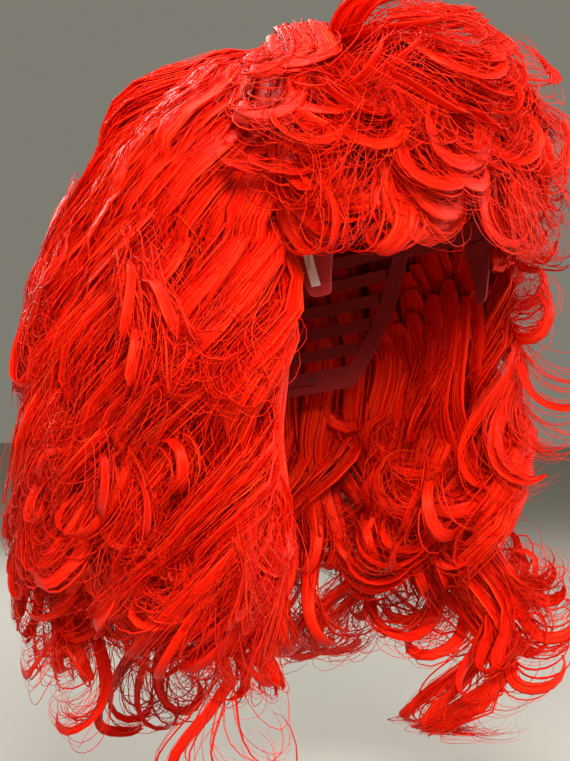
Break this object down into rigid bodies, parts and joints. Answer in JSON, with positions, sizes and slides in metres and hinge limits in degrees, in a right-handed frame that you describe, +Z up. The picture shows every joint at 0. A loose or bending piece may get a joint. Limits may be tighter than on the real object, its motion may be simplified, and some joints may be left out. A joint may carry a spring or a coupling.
{
  "type": "costume wig",
  "caption": "Long loosely waved costume wig: sewn open-weft cap with ear tabs and nape adjusters, fluffy fringe and hanging hair sections.",
  "frame": {"origin": "centre of the head space, on the ear-to-ear axis of the cap", "axes": "+Z up along the hanging hair, the face opening towards -Y, the wearer's right side at -X"},
  "size_m": [0.3, 0.2813, 0.3785],
  "materials": {
    "hair": "satin",
    "net": "matte",
    "weft_stitching": "matte",
    "elastic": "matte",
    "band": "matte",
    "tape": "matte",
    "stay_plastic": "matte",
    "hook_metal": "satin"
  },
  "bodies": {
    "cap": {"centre_ribbon": "band", "crown_hair_back_left": "hair", "crown_hair_back_right": "hair", "crown_hair_front": "hair", "crown_hair_side_left": "hair", "crown_hair_side_right": "hair", "crown_hair_top": "hair", "crown_net_left": "net", "crown_net_right": "net", "crown_weft_tracks": "weft_stitching", "elastic_strap_left": "elastic", "elastic_strap_right": "elastic", "fringe_weft_track": "weft_stitching", "front_band": "band", "loop_tape_left": "tape", "loop_tape_right": "tape", "nape_band": "band", "side_band_left": "band", "side_band_right": "band", "side_ribbon_left": "band", "side_ribbon_right": "band", "strap_anchor_left": "tape", "strap_anchor_right": "tape", "tape_loops_left": "tape", "tape_loops_right": "tape", "weft_ribbon_1": "elastic", "weft_ribbon_2": "elastic", "weft_ribbon_3": "elastic", "weft_ribbon_4": "elastic", "weft_ribbon_5": "elastic", "weft_ribbon_6": "elastic", "weft_track_1": "weft_stitching", "weft_track_2": "weft_stitching", "weft_track_3": "weft_stitching", "weft_track_4": "weft_stitching", "weft_track_5": "weft_stitching", "weft_track_6": "weft_stitching"},
    "side_right": {"side_right_lock_1": "hair", "side_right_lock_2": "hair", "side_right_lock_3": "hair"},
    "back_right": {"back_right_lock_1": "hair", "back_right_lock_2": "hair", "back_right_lock_3": "hair"},
    "back_left": {"back_left_lock_1": "hair", "back_left_lock_2": "hair", "back_left_lock_3": "hair"},
    "side_left": {"side_left_lock_1": "hair", "side_left_lock_2": "hair", "side_left_lock_3": "hair"},
    "fringe_left": {"fringe_left": "hair"},
    "fringe_centre": {"fringe_centre": "hair"},
    "fringe_right": {"fringe_right": "hair"},
    "ear_tab_right": {"ear_tab_right": "band", "ear_stay_right": "stay_plastic"},
    "strap_hook_right": {"strap_hook_right": "hook_metal"},
    "ear_tab_left": {"ear_tab_left": "band", "ear_stay_left": "stay_plastic"},
    "strap_hook_left": {"strap_hook_left": "hook_metal"}
  },
  "joints": [
    {"name": "ear_tab_right_bend", "type": "hinge", "parent": "cap", "child": "ear_tab_right", "pos_m": [-0.06681, -0.048, 0.01225], "axis": [0.4109, -0.8917, 0.1895], "range_deg": [-6, 20]},
    {"name": "ear_tab_left_bend", "type": "hinge", "parent": "cap", "child": "ear_tab_left", "pos_m": [0.06681, -0.048, 0.01225], "axis": [0.4109, 0.8917, -0.1895], "range_deg": [-6, 20]},
    {"name": "strap_hook_right_travel", "type": "hinge", "parent": "cap", "child": "strap_hook_right", "pos_m": [0, 0.01732, -0.05633], "axis": [0, -0.2079, -0.9781], "range_deg": [0, 14], "deforming": ["elastic_strap_right"]},
    {"name": "strap_hook_left_travel", "type": "hinge", "parent": "cap", "child": "strap_hook_left", "pos_m": [0, 0.01732, -0.05633], "axis": [0, 0.2079, 0.9781], "range_deg": [0, 14], "deforming": ["elastic_strap_left"]},
    {"name": "side_right_lift", "type": "hinge", "parent": "cap", "child": "side_right", "pos_m": [-0.12531, 0.00872, 0.01], "axis": [-0.0262, 0.9997, 0], "range_deg": [0, 22], "stiffness_Nm_per_rad": 0.1, "springref_deg": -11.46},
    {"name": "back_right_lift", "type": "hinge", "parent": "cap", "child": "back_right", "pos_m": [-0.06362, 0.12001, 0.01], "axis": [0.8616, 0.5075, 0], "range_deg": [0, 22], "stiffness_Nm_per_rad": 0.1, "springref_deg": -11.46},
    {"name": "back_left_lift", "type": "hinge", "parent": "cap", "child": "back_left", "pos_m": [0.06362, 0.12001, 0.01], "axis": [0.8616, -0.5075, 0], "range_deg": [0, 22], "stiffness_Nm_per_rad": 0.1, "springref_deg": -11.46},
    {"name": "side_left_lift", "type": "hinge", "parent": "cap", "child": "side_left", "pos_m": [0.12531, 0.00872, 0.01], "axis": [-0.0262, -0.9997, 0], "range_deg": [0, 22], "stiffness_Nm_per_rad": 0.1, "springref_deg": -11.46},
    {"name": "fringe_left_lift", "type": "hinge", "parent": "cap", "child": "fringe_left", "pos_m": [0.0781, -0.0856, 0.088], "axis": [-0.7808, -0.6248, 0], "range_deg": [0, 20], "stiffness_Nm_per_rad": 0.03, "springref_deg": -14.32},
    {"name": "fringe_centre_lift", "type": "hinge", "parent": "cap", "child": "fringe_centre", "pos_m": [0, -0.113, 0.088], "axis": [-1, 0, 0], "range_deg": [0, 20], "stiffness_Nm_per_rad": 0.03, "springref_deg": -14.32},
    {"name": "fringe_right_lift", "type": "hinge", "parent": "cap", "child": "fringe_right", "pos_m": [-0.0781, -0.0856, 0.088], "axis": [-0.7808, 0.6248, 0], "range_deg": [0, 20], "stiffness_Nm_per_rad": 0.03, "springref_deg": -14.32}
  ]
}
